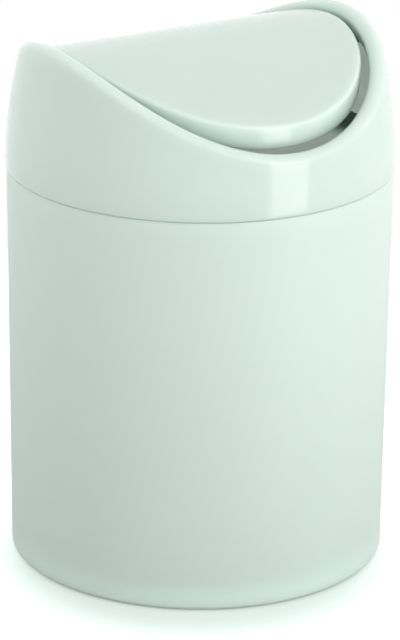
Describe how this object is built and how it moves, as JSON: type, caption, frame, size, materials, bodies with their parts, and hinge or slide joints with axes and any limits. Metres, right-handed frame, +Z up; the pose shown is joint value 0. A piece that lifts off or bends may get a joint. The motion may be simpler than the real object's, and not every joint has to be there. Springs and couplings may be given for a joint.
{
  "type": "countertop trash can",
  "caption": "Round tapered table-top waste bin with a lift-off domed lid ring, a saddle-shaped rolled rim and a barrel-curved flap that swings both ways on side pins.",
  "frame": {"origin": "centre of the flat underside of the foot ring", "axes": "+Z up along the bin's axis, X along the flap's pivot axis, -Y one of the two alike sides that waste is pushed in from"},
  "size_m": [0.1256, 0.1256, 0.176],
  "materials": {
    "bin_body": "satin mint polypropylene",
    "lid_collar": "glossy mint polypropylene",
    "swing_flap": "glossy mint polypropylene"
  },
  "bodies": {
    "bin": {"bin_body": "bin_body"},
    "lid": {"lid_collar": "lid_collar"},
    "flap": {"swing_flap": "swing_flap"}
  },
  "joints": [
    {"name": "lid_lift", "type": "slide", "parent": "bin", "child": "lid", "axis": [0, 0, 1], "range_m": [0, 0.06]},
    {"name": "flap_swing", "type": "hinge", "parent": "lid", "child": "flap", "pos_m": [0, 0, 0.1688], "axis": [1, 0, 0], "range_deg": [-90, 90]}
  ]
}
